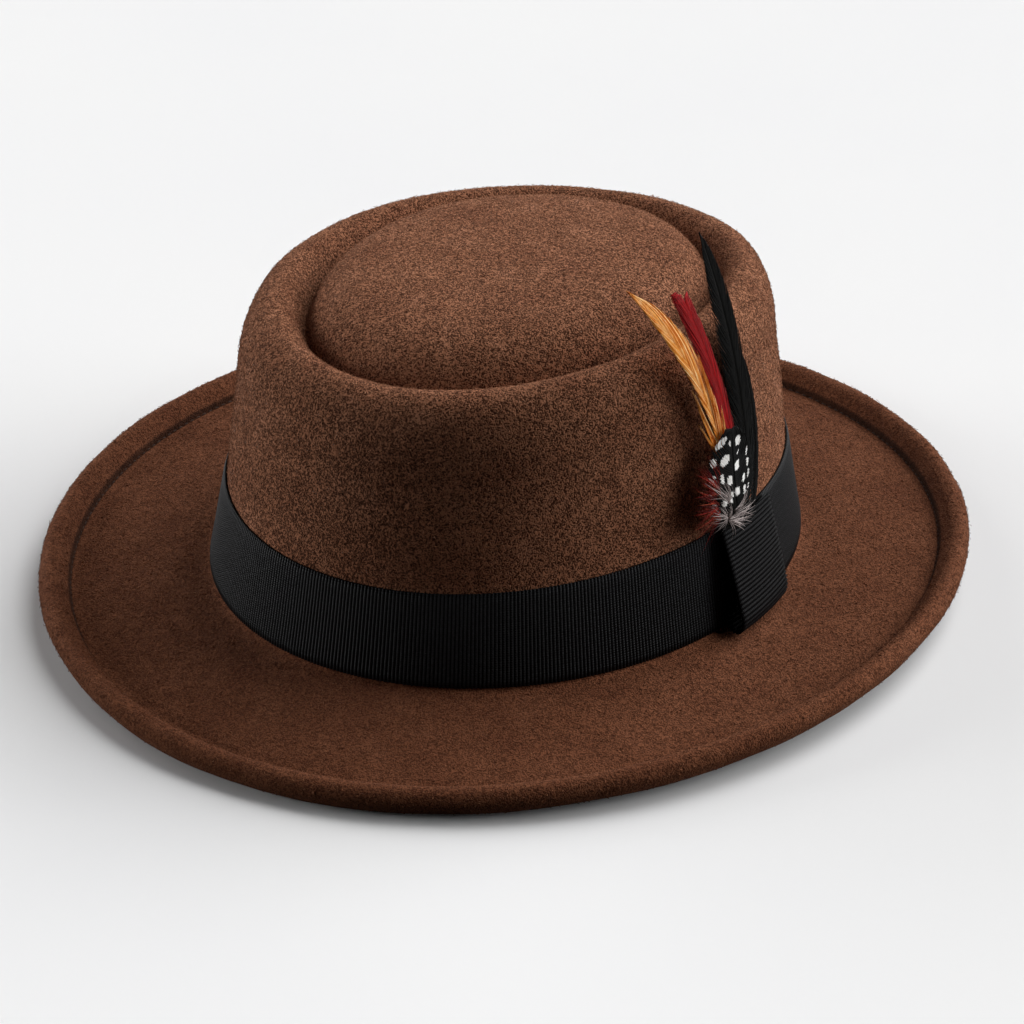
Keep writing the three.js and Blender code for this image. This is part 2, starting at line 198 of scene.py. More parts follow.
def add_node(tree, kind, inputs=None, stops=None, **settings):
    """Adds one node. An input is given a value, or the socket that links to it."""
    node = tree.nodes.new("ShaderNode" + kind)
    for key, value in settings.items():
        setattr(node, key, value)
    for key, value in (inputs or {}).items():
        if isinstance(value, bpy.types.NodeSocket):
            tree.links.new(value, node.inputs[key])
        else:
            node.inputs[key].default_value = value
    if stops:
        ramp = node.color_ramp
        while len(ramp.elements) < len(stops):
            ramp.elements.new(0.5)
        for element, (place, code) in zip(ramp.elements, stops):
            element.position = place
            element.color = linear(code)
    return node


def new_material(name):
    material = bpy.data.materials.new(name)
    material.use_nodes = True
    material.node_tree.nodes.clear()
    return material, material.node_tree


def finish_material(tree, **sockets):
    """The shader and output. Socket names are written with _ for a space."""
    named = {key.replace("_", " "): value for key, value in sockets.items()}
    shader = add_node(tree, "BsdfPrincipled", named)
    add_node(tree, "OutputMaterial", {"Surface": shader.outputs["BSDF"]})


def per_mm(size):
    """Scale of a pattern on Object coordinates, whose features are size millimetres."""
    return 1 / (size * MM)


def maths(tree, operation, *values):
    return add_node(tree, "Math", dict(enumerate(values)), operation=operation).outputs[0]


def pattern(tree, place, scale, **settings):
    """Noise on places."""
    return add_node(tree, "TexNoise", {"Vector": place, "Scale": scale, **settings}).outputs["Fac"]


def remap(tree, value, start, end, low=0.0, high=1.0):
    """low up to start, then evenly to high at end."""
    return add_node(tree, "MapRange", {
        "Value": value, "From Min": start, "From Max": end, "To Min": low, "To Max": high,
    }).outputs[0]


def tone_ramp(tree, share, stops):
    return add_node(tree, "ValToRGB", {"Fac": share}, stops=stops).outputs["Color"]


# Heights between which the brim's painted shade and pressed grain give way to the crown's, behind
# the ribbon
BRIM_TONE_TOP, CROWN_TONE_FOOT = 15.0, 30.0

# Painted shade in the seam's crease: its darkest value, and the share of its width that has it
SEAM_PAINTED_SHADE, SEAM_CORE = 0.3, 0.3

# Sizes of the felt's curls, grain and clouds of tone, in millimetres. CURL_FOLDS is how often a
# curl folds, CURL_SHARE how much curls show in the grain, and MAT_DEPTH how deep the mat is.
CURL_SIZE, GRAIN_SIZE, CLOUD_SIZE = 1.0, 0.45, 14.0
CURL_FOLDS, CURL_SHARE, MAT_DEPTH = 2.3, 0.2, 0.35

# Sizes of the patches of tone on loose fibres and feathers, and of the twist of the thread
FIBRE_PATCH, FEATHER_PATCH, THREAD_TWIST = 0.6, 3.0, 0.4


def crown_share(tree, place):
    """0 on the brim and 1 on the crown, with a soft change behind the ribbon."""
    height = add_node(tree, "SeparateXYZ", {0: place}).outputs["Z"]
    return remap(tree, height, BRIM_TONE_TOP * MM, CROWN_TONE_FOOT * MM)


def painted_shade_by_place(tree, place, colour):
    """Painted shade: the brim is painted a shade darker than the crown, and redder in tone, and a
    dark line of painted shade lies in the crease of the seam of its turned-over edge."""
    # Painted shade: the brim's colour is multiplied by this darker, redder tint, which fades out up
    # the crown
    brim_painted_shade = add_node(tree, "Mix", {
        0: crown_share(tree, place), 6: linear("#d8cac0"), 7: linear("#ffffff"),
    }, data_type="RGBA").outputs[2]
    # Painted shade: a dark line in the crease along the oval of the brim's seam
    oval = add_node(tree, "VectorMath", {
        0: place, 1: (per_mm(SEAM_ACROSS), per_mm(SEAM_LONG), 0),
    }, operation="MULTIPLY")
    reach = add_node(tree, "VectorMath", {0: oval.outputs[0]}, operation="LENGTH").outputs["Value"]
    beside = maths(tree, "ABSOLUTE", maths(tree, "SUBTRACT", reach, 1.0))
    half = SEAM_HALF / SEAM_LONG
    seam = remap(tree, beside, SEAM_CORE * half, half, low=SEAM_PAINTED_SHADE)
    brim_shaded = add_node(tree, "VectorMath", {0: colour, 1: brim_painted_shade}, operation="MULTIPLY").outputs[0]
    return add_node(tree, "VectorMath", {0: brim_shaded, "Scale": seam}, operation="SCALE").outputs[0]


def wool_felt():
    """Wool felt, blocked and left unpolished: matt, warm brown, a mat of short curled fibres whose
    tops are painted lighter as painted highlight over gaps painted darker as painted shade, with
    slow clouds of lighter and darker wool. The brim is pressed flatter than the crown."""
    material, tree = new_material("wool_felt")
    place = add_node(tree, "TexCoord").outputs["Object"]
    curls = pattern(tree, place, per_mm(CURL_SIZE), Detail=0.0, Distortion=1.0)
    wave = maths(tree, "SINE", maths(tree, "MULTIPLY", curls, 2 * math.pi * CURL_FOLDS))
    grain = pattern(tree, place, per_mm(GRAIN_SIZE), Detail=0.0, Distortion=0.5)
    ridge = remap(tree, maths(tree, "MULTIPLY_ADD", wave, CURL_SHARE, grain), 0.32, 0.68)
    clouds = pattern(tree, place, per_mm(CLOUD_SIZE), Detail=4.0, Roughness=0.62)
    # Painted shade in the gaps between curls and painted highlight on their tops, over clouds of
    # tone
    gap = tone_ramp(tree, clouds, [(0.3, "#3d2012"), (0.5, "#452719"), (0.72, "#4f2f20")])
    fibre = tone_ramp(tree, clouds, [(0.3, "#9a654b"), (0.5, "#a67053"), (0.72, "#b27b5e")])
    pressed = remap(tree, ridge, 0.0, 1.0, low=0.2, high=0.72)
    crown = crown_share(tree, place)
    loft = add_node(tree, "Mix", {0: crown, 2: pressed, 3: ridge}).outputs[0]
    lit = add_node(tree, "Mix", {0: loft, 6: gap, 7: fibre}, data_type="RGBA").outputs[2]
    bump = add_node(tree, "Bump", {"Height": loft, "Strength": 0.85, "Distance": MAT_DEPTH * MM})
    # The felt's colour takes the brim's painted shade and the seam's painted crease shade
    finish_material(
        tree, Base_Color=painted_shade_by_place(tree, place, lit), Roughness=0.95, Specular_IOR_Level=0.1,
        Sheen_Weight=0.06, Sheen_Roughness=0.5, Sheen_Tint=linear("#c7906c"),
        Normal=bump.outputs["Normal"],
    )
    return material


def wool_fibre():
    """Loose ends of the felt's wool: most a little lighter than the mat they stand out from, some
    darker."""
    material, tree = new_material("wool_fibre")
    place = add_node(tree, "TexCoord").outputs["Object"]
    patch = pattern(tree, place, per_mm(FIBRE_PATCH), Detail=0.0)
    tone = tone_ramp(tree, patch, [(0.32, "#56321f"), (0.5, "#8c5a40"), (0.68, "#b98767")])
    # The loose fibres take the brim's painted shade and the seam's painted crease shade too
    finish_material(
        tree, Base_Color=painted_shade_by_place(tree, place, tone), Roughness=0.8, Specular_IOR_Level=0.12,
    )
    return material


# Pitch of the warp threads that cross a rib, how far they wander, and how deep they bind it
WARP_PITCH, WARP_WANDER, WARP_DEPTH = 0.7, 5.0, 0.1


def rayon_grosgrain(name, stops, gloss):
    """Rayon grosgrain ribbon: black, ribs of bundled yarn with a soft sheen, the gaps between them
    painted darker and less glossy as painted shade, bound down by fine warp threads that dot each
    rib. The map counts ribs one way, millimetres the other."""
    material, tree = new_material(name)
    map_place = add_node(tree, "UVMap", uv_map="surface").outputs["UV"]
    parts = add_node(tree, "SeparateXYZ", {0: map_place})
    dots = pattern(tree, map_place, 1.7, Detail=1.0)
    warp = maths(tree, "MULTIPLY", parts.outputs["Y"], 2 * math.pi / WARP_PITCH)
    wave = maths(tree, "SINE", maths(tree, "MULTIPLY_ADD", dots, WARP_WANDER, warp))
    yarn = tone_ramp(tree, dots, stops)
    # Painted shade: colour and sheen are turned down in the gaps between ribs
    swing = maths(tree, "SINE", maths(tree, "MULTIPLY", parts.outputs["X"], math.pi))
    rib = remap(tree, maths(tree, "ABSOLUTE", swing), 0.25, 1.0, low=0.15)
    tone = add_node(tree, "VectorMath", {0: yarn, "Scale": rib}, operation="SCALE").outputs[0]
    shine = maths(tree, "MULTIPLY", rib, gloss)
    bump = add_node(tree, "Bump", {"Height": wave, "Strength": 0.5, "Distance": WARP_DEPTH * MM})
    finish_material(
        tree, Base_Color=tone, Roughness=0.55, Specular_IOR_Level=shine,
        Normal=bump.outputs["Normal"],
    )
    return material


def feather_barbs(name, stops, roughness, fleck=0.35, gloss=0.12):
    """Feather: barbs of keratin that lie side by side, each its own shade, with a soft gloss. The
    map gives a strand's number and the share of its length. fleck is how much of a barb's shade
    is its own, and not that of its patch."""
    material, tree = new_material(name)
    map_place = add_node(tree, "UVMap", uv_map="surface").outputs["UV"]
    number = add_node(tree, "SeparateXYZ", {0: map_place}).outputs["X"]
    own = add_node(tree, "TexWhiteNoise", {"W": number}, noise_dimensions="1D").outputs["Value"]
    place = add_node(tree, "TexCoord").outputs["Object"]
    patch = pattern(tree, place, per_mm(FEATHER_PATCH), Detail=2.0)
    mixed = maths(tree, "MULTIPLY_ADD", own, fleck, maths(tree, "MULTIPLY", patch, 1 - fleck))
    tone = tone_ramp(tree, mixed, stops)
    finish_material(tree, Base_Color=tone, Roughness=roughness, Specular_IOR_Level=gloss)
    return material


def sewing_thread():
    """Spun polyester sewing thread, brown, sunk in the felt."""
    material, tree = new_material("sewing_thread")
    place = add_node(tree, "TexCoord").outputs["Object"]
    twist = pattern(tree, place, per_mm(THREAD_TWIST))
    tone = tone_ramp(tree, twist, [(0.3, "#2c1c14"), (0.7, "#4a3226")])
    finish_material(tree, Base_Color=tone, Roughness=0.75, Specular_IOR_Level=0.3)
    return material


def paper_sweep():
    """Matt white paper: pale, even, with a trace of mottling."""
    material, tree = new_material("paper_sweep")
    place = add_node(tree, "TexCoord").outputs["Object"]
    tone = tone_ramp(tree, pattern(tree, place, 6.0), [(0.3, "#f0f0f1"), (0.7, "#f2f2f2")])
    finish_material(tree, Base_Color=tone, Roughness=1.0, Specular_IOR_Level=0.0)
    return material


# Crown's blocked shape

def crown_height(x, y, rise):
    side, end = x / CREST_ACROSS, y / CREST_LONG
    uneven = CREST_ROLL * side + CREST_SADDLE * (side**2 - end**2)
    return FOOT_HEIGHT + rise - y * FOOT_PITCH / HEAD_LONG + uneven * rise / CROWN_HEIGHT


def wall_point(angle, height, off):
    """Points off the crown's wall by a distance, at heights above its foot. angle is in radians
    round the hat, from the front toward the wearer's left."""
    angle, height, off = np.broadcast_arrays(angle, height, off)
    lean = np.interp(height / CROWN_HEIGHT, WALL_RISE, WALL_LEAN)
    across = HEAD_ACROSS + (CREST_ACROSS - HEAD_ACROSS) * lean + off
    lengthwise = HEAD_LONG + (CREST_LONG - HEAD_LONG) * lean + off
    x = CREST_SHIFT * lean + across * np.sin(angle)
    y = -lengthwise * np.cos(angle)
    return np.stack([x, y, crown_height(x, y, height)], axis=-1)


# Felt

# Vertices closer than this are one.
WELD = 0.005

# Blocked wool is uneven in slow waves and quick ripples.
UNEVEN_SIZE, UNEVEN_DEPTH = 22.0, 0.35
RIPPLE_SIZE, RIPPLE_DEPTH = 6.0, 0.08

# SWELL makes up for what smoothing takes off the outside, where the felt faces out or up: from
# this height of its normal, and in full after the fade.
SWELL, FACING_UP, FACING_FADE = 0.55, -0.3, 0.5

# The unevenness starts this far above the band, off the seam, and outside the head's oval as a
# share of it, and is full after the fade.
ABOVE_BAND, BAND_FADE = 5.0, 10.0
OFF_SEAM, SEAM_FADE = 1.5, 2.5
OFF_HEAD, HEAD_FADE = 0.03, 0.1

# How near a vertex lies to the seam that it belongs to, along the brim and in height
SEAM_REACH, SEAM_RISE = 0.1, 0.3


def from_seam(places):
    """How far places lie outside the oval of the brim's seam, in millimetres."""
    return (np.hypot(places[:, 0] / SEAM_ACROSS, places[:, 1] / SEAM_LONG) - 1) * SEAM_LONG


def sharpen_seam(mesh):
    """Keeps the crease sharp where the turned-over edge is sewn down on the brim."""
    places, _ = read_vertices(mesh)
    height = FELT + BRIM_LIFT * (places[:, 0] / SEAM_ACROSS) ** 2
    beside = np.abs(from_seam(places)) < SEAM_REACH
    seam = beside & (np.abs(places[:, 2] - height) < SEAM_RISE)
    ends = np.empty(len(mesh.edges) * 2, np.int32)
    mesh.edges.foreach_get("vertices", ends)
    crease = seam[ends.reshape(-1, 2)].all(axis=1)
    layer = mesh.attributes.new("crease_edge", "FLOAT", "EDGE")
    layer.data.foreach_set("value", crease.astype(np.float32))


def felt_hat():
    """Crown and brim: the CAD felt, merged, smoothed and given the unevenness of blocked wool."""
    piece = bpy.data.objects.new("felt_hat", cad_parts["felt_body"].data.copy())
    bpy.context.scene.collection.objects.link(piece)
    piece.data.materials.clear()
    select_only(piece)
    bpy.ops.object.mode_set(mode="EDIT")
    bpy.ops.mesh.select_all(action="SELECT")
    bpy.ops.mesh.remove_doubles(threshold=WELD * MM)
    bpy.ops.mesh.tris_convert_to_quads(face_threshold=math.pi, shape_threshold=math.pi)
    bpy.ops.object.mode_set(mode="OBJECT")
    sharpen_seam(piece.data)
    apply_modifier(piece, "SUBSURF", levels=2, render_levels=2)
    mesh = piece.data
    places, normals = read_vertices(mesh)
    radius = np.hypot(places[:, 0] / HEAD_ACROSS, places[:, 1] / HEAD_LONG)
    above = fade(places[:, 2], FOOT_HEIGHT + BAND_HEIGHT + ABOVE_BAND, BAND_FADE)
    beyond = fade(radius, 1 + OFF_HEAD, HEAD_FADE)
    free = np.maximum(above, beyond) * fade(np.abs(from_seam(places)), OFF_SEAM, SEAM_FADE)
    slow = np.array([noise.noise(place / UNEVEN_SIZE) for place in map(Vector, places)])
    quick = np.array([noise.noise(place / RIPPLE_SIZE) for place in map(Vector, places)])
    outer = fade(normals[:, 2], FACING_UP, FACING_FADE) * SWELL
    lift = free * (slow * UNEVEN_DEPTH + quick * RIPPLE_DEPTH + outer)
    write_vertices(mesh, places + normals * lift[:, None])
    mesh.shade_smooth()
    return piece


def scatter(piece, density, rng):
    """Even random places on a piece, with their normals, density of them for each square mm."""
    mesh = piece.data
    mesh.calc_loop_triangles()
    corners = np.empty(len(mesh.loop_triangles) * 3, np.int32)
    mesh.loop_triangles.foreach_get("vertices", corners)
    corners = corners.reshape(-1, 3)
    places, normals = read_vertices(mesh)
    a, b, c = (places[corners[:, k]] for k in range(3))
    areas = np.linalg.norm(np.cross(b - a, c - a), axis=1) / 2
    count = int(areas.sum() * density)
    chosen = rng.choice(len(corners), size=count, p=areas / areas.sum())
    share = rng.random((count, 2))
    folded = share.sum(axis=1) > 1
    share[folded] = 1 - share[folded]
    u, v = share[:, :1], share[:, 1:]

    def at_chosen(table):
        first, second, third = (table[corners[chosen, k]] for k in range(3))
        return first * (1 - u - v) + second * u + third * v

    return at_chosen(places), unit(at_chosen(normals))


# Loose fibres: a short curled spindle, drawn several times as thick as wool so that it shows.
# Length and thickness vary between two shares of their plain size. FIBRE_STAND shapes how far
# fibres stand up: most lie flat. A root is sunk in the felt and a middle lifted off it.
FIBRE_LENGTH, FIBRE_LENGTHS = 1.25, (0.6, 1.5)
FIBRE_HALF, FIBRE_HALVES = 0.085, (0.7, 1.25)
FIBRE_STAND, FIBRE_CURL, FIBRE_SUNK, FIBRE_LIFTED = (1.1, 5.0), 0.45, 0.05, 0.07

# Where a fibre's middle and tip lie, in its lengths: to the side, what standing takes off that, up
# by standing, down again, and along the curl
FIBRE_MIDDLE, FIBRE_TIP = (0.5, 0.4, 0.42, 0.0, 0.6), (1.0, 0.6, 0.75, 0.08, -0.3)

FIBRE_SHOWN, FIBRE_HIDDEN = 0.95, 0.07  # fibres for each square millimetre
NAP_SEED = 7

# Corners of a spindle's faces: its root is 0, the ring round its middle 1 to 3 and its tip 4.
SPINDLE = [(0, 2, 1), (0, 3, 2), (0, 1, 3), (4, 1, 2), (4, 2, 3), (4, 3, 1)]


def fibres(name, roots, normals, rng):
    """Spindles from root to tip over a middle, each off to its own side."""
    count = len(roots)
    aside = unit(np.cross(normals, rng.normal(size=(count, 3))))
    length = FIBRE_LENGTH * rng.uniform(*FIBRE_LENGTHS, (count, 1))
    stand = rng.beta(*FIBRE_STAND, (count, 1))
    curl = np.cross(normals, aside) * rng.uniform(-FIBRE_CURL, FIBRE_CURL, (count, 1))

    def place_at(reach, less, up, down, sway):
        flat = reach * aside * (1 - less * stand)
        return roots + length * (flat + normals * (up * stand - down) + curl * sway)

    middle = place_at(*FIBRE_MIDDLE) + normals * FIBRE_LIFTED
    tip = place_at(*FIBRE_TIP)
    root = roots - normals * FIBRE_SUNK
    along = unit(tip - root)
    first = unit(np.cross(along, normals + 0.01 * rng.normal(size=(count, 3))))
    second = np.cross(along, first)
    half = FIBRE_HALF * rng.uniform(*FIBRE_HALVES, (count, 1))
    ring = [
        middle + half * (first * math.cos(turn) + second * math.sin(turn))
        for turn in (0, 2 * math.pi / 3, 4 * math.pi / 3)
    ]
    points = np.stack([root, *ring, tip], axis=1)
    start = (np.arange(count) * points.shape[1])[:, None]
    faces = np.concatenate([start + np.array(corners) for corners in SPINDLE])
    return piece_from(name, points, [faces])


# Rays start LOOK_OFF the felt, so that they miss it. Below COVER_TOP, which is over all the
# ribbons, one may cover the felt within COVER_REACH. Nap below BRIM_TOP belongs to the brim.
LOOK_OFF, COVER_REACH = 0.2, 2.5
COVER_TOP, BRIM_TOP = FOOT_HEIGHT + FOOT_PITCH + BAND_HEIGHT + 8, FOOT_HEIGHT + 14


def nap(felt, covers):
    """Fibres all over the felt, thin where it is hidden and none under the ribbons."""
    rng = np.random.default_rng(NAP_SEED)
    places, normals = scatter(felt, FIBRE_SHOWN, rng)
    graph = bpy.context.evaluated_depsgraph_get()
    own = BVHTree.FromObject(felt, graph)
    over = [BVHTree.FromObject(piece, graph) for piece in covers]
    shown = np.zeros(len(places), bool)
    bare = np.ones(len(places), bool)
    for i, (place, normal) in enumerate(zip(places, normals)):
        start = Vector((place + normal * LOOK_OFF) * MM)
        shown[i] = own.ray_cast(start, Vector((0, 0, 1)))[0] is None
        if place[2] < COVER_TOP:
            out = Vector(normal)
            bare[i] = all(tree.ray_cast(start, out, COVER_REACH * MM)[0] is None for tree in over)
    thin = rng.random(len(places)) < FIBRE_HIDDEN / FIBRE_SHOWN
    bare &= np.abs(from_seam(places)) > SEAM_HALF
    off_floor = places[:, 2] > FIBRE_LENGTH / 2
    low = places[:, 2] < BRIM_TOP
    right = places[:, 0] < 0
    front = places[:, 1] < 0
    outside = shown & off_floor & bare
    parts = {
        "nap_crown_front": outside & ~low & front,
        "nap_crown_back": outside & ~low & ~front,
        "nap_brim_right": outside & low & right,
        "nap_brim_left": outside & low & ~right,
        "nap_inside": ~shown & off_floor & thin,
    }
    return [fibres(name, places[mask], normals[mask], rng) for name, mask in parts.items()]


# Stitches that hold the brim's turned-over edge, sunk in the crease along its cut edge. Each rises
# from STITCH_SUNK by STITCH_ARCH, and is thinner at its ends by STITCH_TAPER.
STITCH_PITCH, STITCH_LENGTH, STITCH_HALF, STITCH_INSIDE = 3.0, 2.1, 0.22, 0.15
STITCH_SUNK, STITCH_ARCH, STITCH_TAPER = 0.05, 0.22, 0.45
STITCH_STEPS, SEAM_STEPS = 5, 2000


def along_seam(angle, height):
    """Places just inside the seam, at a height above the brim."""
    return np.stack([
        (SEAM_ACROSS - STITCH_INSIDE) * np.sin(angle), -(SEAM_LONG - STITCH_INSIDE) * np.cos(angle),
        FELT + BRIM_LIFT * np.sin(angle) ** 2 + height,
    ], axis=-1)


def welt_stitches():
    around = np.linspace(0, 2 * math.pi, SEAM_STEPS)
    run = path_lengths(along_seam(around, 0))
    count = round(run[-1] / STITCH_PITCH)
    starts = np.arange(count) * run[-1] / count
    share = np.linspace(0, 1, STITCH_STEPS)
    at = starts[:, None] + share * STITCH_LENGTH
    angle = np.interp(at % run[-1], run, around)
    arch = np.sin(share * math.pi)
    paths = along_seam(angle, STITCH_SUNK + STITCH_ARCH * arch)
    half = STITCH_HALF * np.broadcast_to(1 - STITCH_TAPER * (1 - arch), at.shape)
    points, faces = strands(paths, half, np.array([0, 0, 1.0]), ROUND_SECTION)
    return piece_from("welt_stitches", points, faces)


# Ribbons. RIB_BAND and RIB_LOOP are the pitch of the ribs and RIB_DEPTH is from a rib down to the
# gap. A crest power below 1 makes a rib's top broad.
RIB_BAND, RIB_LOOP, RIB_DEPTH, RIB_CREST = 1.1, 1.2, 0.4, 0.7
RIB_CELLS, BAND_CELLS, LOOP_CELLS = 4, 14, 20  # cells across one rib, and along it
BAND_STEPS = 4001

# The band thins by SELVEDGE_DROP over its outermost SELVEDGE.
SELVEDGE, SELVEDGE_DROP = 0.5, 0.25

# The folded ribbon's front comes back to the band by FOLD_BACK at shares of its way up.
FOLD_RISE, FOLD_BACK = [0, 0.35, 0.7, 1], [0, 0.28, 0.65, 1]
DOWN_STEPS, TURN_STEPS, UP_STEPS = 8, 17, 13


def rib_shape(share):
    """Height across one rib, 0 in the gap and 1 along its top."""
    return np.abs(np.sin(np.pi * share)) ** RIB_CREST


def ribbon_sheet(name, surface, columns, rows):
    """A grid laid on a surface, which gives places and map places for column and row shares."""
    bpy.ops.object.select_all(action="DESELECT")
    bpy.ops.mesh.primitive_grid_add(x_subdivisions=columns, y_subdivisions=rows, size=2)
    piece = bpy.context.object
    piece.name = name
    mesh = piece.data
    mesh.name = name
    flat = np.empty(len(mesh.vertices) * 3)
    mesh.vertices.foreach_get("co", flat)
    share = (flat.reshape(-1, 3)[:, :2] + 1) / 2
    places, maps = surface(share[:, 0], share[:, 1])
    corners = np.empty(len(mesh.loops), np.int32)
    mesh.loops.foreach_get("vertex_index", corners)
    layer = mesh.uv_layers[0]
    layer.name = "surface"
    layer.data.foreach_set("uv", maps[corners].ravel())
    write_vertices(mesh, places)
    mesh.shade_smooth()
    return piece


def hat_band():
    """The ribbon round the foot of the crown, its ribs upright."""
    angles = np.linspace(0, 2 * math.pi, BAND_STEPS)
    run = path_lengths(wall_point(angles, BAND_FOOT + BAND_HEIGHT / 2, 0))
    ribs = round(run[-1] / RIB_BAND)

    def surface(u, v):
        angle = np.interp(u * run[-1], run, angles)
        body = fade(np.minimum(v, 1 - v) * BAND_HEIGHT, 0, SELVEDGE) ** 0.5
        off = SEAT_GAP + RIBBON - RIB_DEPTH * (1 - rib_shape(u * ribs)) - SELVEDGE_DROP * (1 - body)
        places = wall_point(angle, BAND_FOOT + BAND_HEIGHT * v, off)
        return places, np.stack([u * ribs, v * BAND_HEIGHT], axis=-1)

    piece = ribbon_sheet("ribbon_band", surface, ribs * RIB_CELLS, BAND_CELLS)
    bpy.ops.object.mode_set(mode="EDIT")
    bpy.ops.mesh.select_all(action="SELECT")
    bpy.ops.mesh.remove_doubles(threshold=WELD * MM)
    bpy.ops.object.mode_set(mode="OBJECT")
    return piece


def fold_line():
    """Middle line of the folded ribbon, from its top down behind, round the fold and up in front.
    Each point has shares of the way out to the bulge and back from it, and a height."""
    roll = LOOP_FOOT + RIBBON / 2 + LOOP_ROLL
    down = [(0.0, 0.0, h) for h in np.linspace(LOOP_TOP, roll, DOWN_STEPS)[:-1]]
    turn = [
        ((1 - math.cos(t)) / 2, 0.0, roll - LOOP_ROLL * math.sin(t))
        for t in np.linspace(0, math.pi, TURN_STEPS)
    ]
    up = [
        (1.0, np.interp(share, FOLD_RISE, FOLD_BACK), roll + (LOOP_TOP - roll) * share)
        for share in np.linspace(0, 1, UP_STEPS)[1:]
    ]
    return np.array(down + turn + up)


def ribbon_loop():
    """The ribbon folded up on itself over the band, open at its top, with its ribs along the
    band."""
    line = fold_line()
    spread = LOOP_WIDTH / HEAD_LONG
    inner = RIBBON / 2
    front = inner + RIBBON + POCKET
    run = path_lengths(line[:, [0, 2]] * [LOOP_BULGE, 1])
    ribs = round(run[-1] / RIB_LOOP)

    def surface(u, v):
        bulge = LOOP_BULGE - LOOP_TIGHTEN * u - inner
        ease, back, height = (np.interp(v * run[-1], run, line[:, k]) for k in range(3))
        off = inner + (bulge - inner) * ease + (front - bulge) * back
        angle = math.radians(LOOP_ANGLE) + (u - 0.5) * spread
        places = wall_point(angle, height, SEAT_GAP + RIBBON + SEAT_GAP + off)
        return places, np.stack([v * ribs, u * LOOP_WIDTH], axis=-1)

    piece = ribbon_sheet("ribbon_fold", surface, LOOP_CELLS, ribs * RIB_CELLS)
    places, normals = read_vertices(piece.data)
    rows = np.repeat(np.arange(ribs * RIB_CELLS + 1), LOOP_CELLS + 1)
    lift = (rib_shape(rows / RIB_CELLS) - 1) * RIB_DEPTH + RIBBON / 2
    write_vertices(piece.data, places + normals * lift[:, None])
    return piece


def thicken(piece, depth):
    apply_modifier(piece, "SOLIDIFY", thickness=depth * MM, offset=-1.0, use_even_offset=False)
    piece.data.shade_smooth()


# Feathers

def bunch_frame():
    """Where the bunch leaves the loop, and its directions to the side, up and outwards."""
    angle = math.radians(BUNCH_ANGLE)
    seat = SEAT_GAP + RIBBON + SEAT_GAP + RIBBON + POCKET / 2
    origin = wall_point(angle, LOOP_TOP, seat)
    up = unit(origin - wall_point(angle, LOOP_TOP - QUILL_DEPTH, seat))
    along = wall_point(angle + math.radians(1), LOOP_TOP, seat) - origin
    out = unit(np.cross(along, up))
    return origin, np.cross(up, out), up, out


BUNCH, SIDE, UP, OUT = bunch_frame()


def bunch_point(side, up, out):
    """Places from distances on the bunch's chart. The bunch curls in toward the crown."""
    side, up, out = (np.asarray(value)[..., None] for value in (side, up, out))
    return BUNCH + SIDE * side + UP * up + OUT * (out - FEATHER_CURL * (up / FEATHER_LENGTH) ** 2)


def spine(row, reach):
    """Side, height and direction of a feather's shaft at distances along it."""
    length = FEATHER_LENGTH * row["long"]
    lean, bend = math.radians(row["lean"]), math.radians(row["bend"])
    turn = lean + bend * reach / length
    side = LOOP_WIDTH * row["seat"] + (np.cos(lean) - np.cos(turn)) * length / bend
    side = side + row["bow"] * np.sin(np.pi * np.clip(reach / length, 0, 1))
    up = row["root"] + (np.sin(turn) - np.sin(lean)) * length / bend
    return side, up, turn


def layer_off(row, up):
    """How far out a feather lies. Those held in the loop fan out into layers above it."""
    share = fade(up, 0, FAN_RAMP) if row["root"] < 0 else np.ones_like(up)
    return row["layer"] * LAYER * share * share * (3 - 2 * share)


def strand_maps(number, share):
    """Map places of three-sided strands: the strand's own number and the share of its length."""
    return np.stack(np.broadcast_arrays(number + 0.5, share[..., None] + np.zeros(3)), axis=-1)


# How a barb's way along and across the vane grows, and how much it thins
BARB_ALONG, BARB_ACROSS, BARB_THIN = 1.08, 0.92, 0.75

# How far the vane, single barbs and every other group of them stand off the layer
VANE_OFF, BARB_OFF, GROUP_OFF = 0.15, 0.07, 0.12

# How much single barbs differ in root, sweep and tip, and groups in how closely they cling
ROOT_STRAY, SWEEP_STRAY, TIP_STRAY, LEAST_CLING = 0.05, 0.07, 0.012, 0.4

# The least half width that a barb sweeps to, as a share of the vane's, and how far a barb's root
# stays behind the feather's tip
LEAST_SWEEP, ROOT_BEHIND = 0.3, 0.4

# Points along a shaft, the share of its thickness at its tip, and how far it is off the layer
SHAFT_STEPS, SHAFT_TIP, SHAFT_OFF = 24, 0.25, 0.1

# Points along a lock's barbs, how much they thin and close in to the tip, and how deep they lie
LOCK_STEPS, LOCK_THIN, LOCK_CLOSE, LOCK_DEPTH = 7, 0.8, 0.8, 0.35

NUMBER_STEP = 1000  # between the numbers of the barbs on a shaft's two sides
FEATHER_SEED = 21


